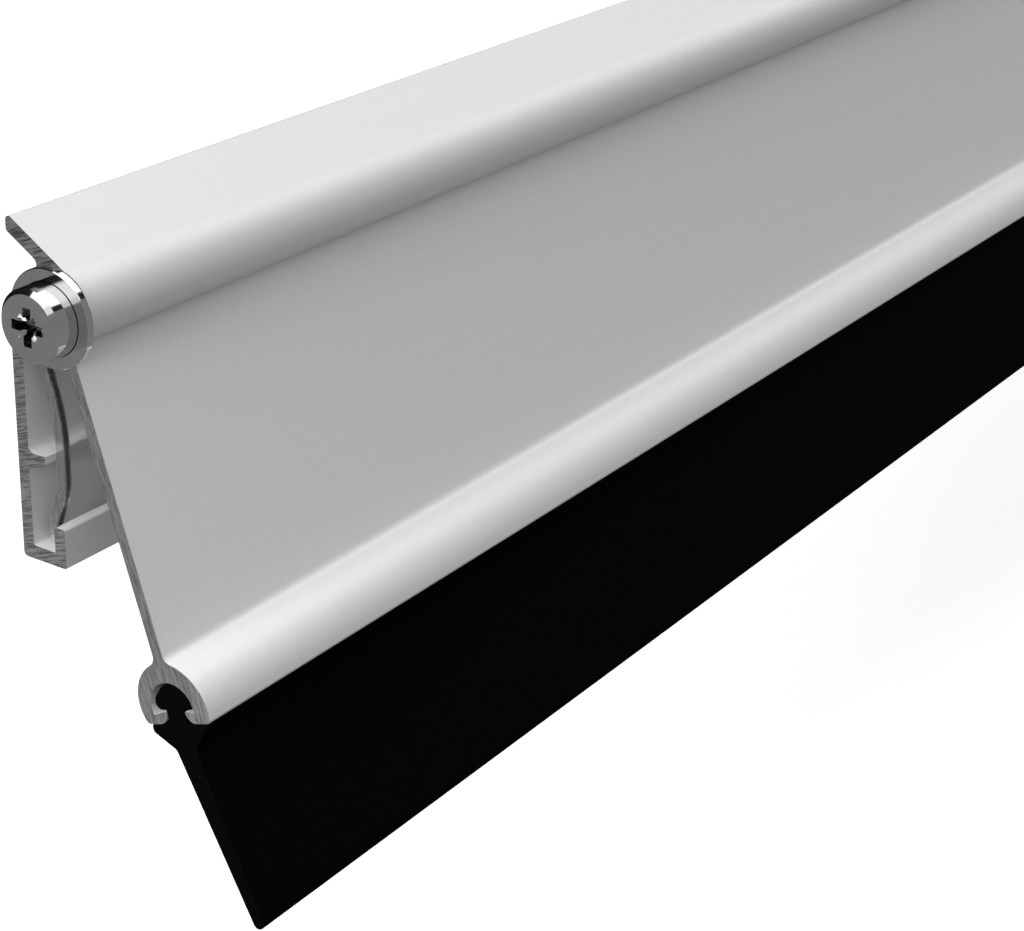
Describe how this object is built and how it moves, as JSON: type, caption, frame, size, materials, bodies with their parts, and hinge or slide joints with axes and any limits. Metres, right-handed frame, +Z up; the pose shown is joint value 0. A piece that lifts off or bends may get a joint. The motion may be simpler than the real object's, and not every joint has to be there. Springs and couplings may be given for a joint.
{
  "type": "automatic door bottom seal",
  "caption": "Surface-mounted door bottom seal: a fixed rail carries a sprung swinging flap whose rubber blade drops to the floor as the door shuts.",
  "frame": {"origin": "middle of the fixing-hole line, on the back face of the rear rail", "axes": "+X along the seal, +Y into the door's face, +Z up"},
  "size_m": [0.922, 0.0321, 0.0735],
  "materials": {
    "satin_aluminium": "satin light grey",
    "black_rubber": "smooth satin black",
    "spring_steel": "rolled, satin",
    "bright_plate": "polished bright plating"
  },
  "bodies": {
    "rail": {"rear_rail": "satin_aluminium", "return_spring_near": "spring_steel", "return_spring_far": "spring_steel", "pivot_washer_near": "bright_plate", "pivot_washer_far": "bright_plate", "pivot_screw_near": "bright_plate", "pivot_screw_far": "bright_plate"},
    "flap": {"swing_flap": "satin_aluminium", "wiper_blade": "black_rubber"}
  },
  "joints": [
    {"name": "flap_swing", "type": "hinge", "parent": "rail", "child": "flap", "pos_m": [0, -0.0063, 0.0104], "axis": [1, 0, 0], "range_deg": [0, 17], "stiffness_Nm_per_rad": 0.35, "springref_deg": -17.19, "deforming": ["return_spring_near", "return_spring_far"]}
  ]
}
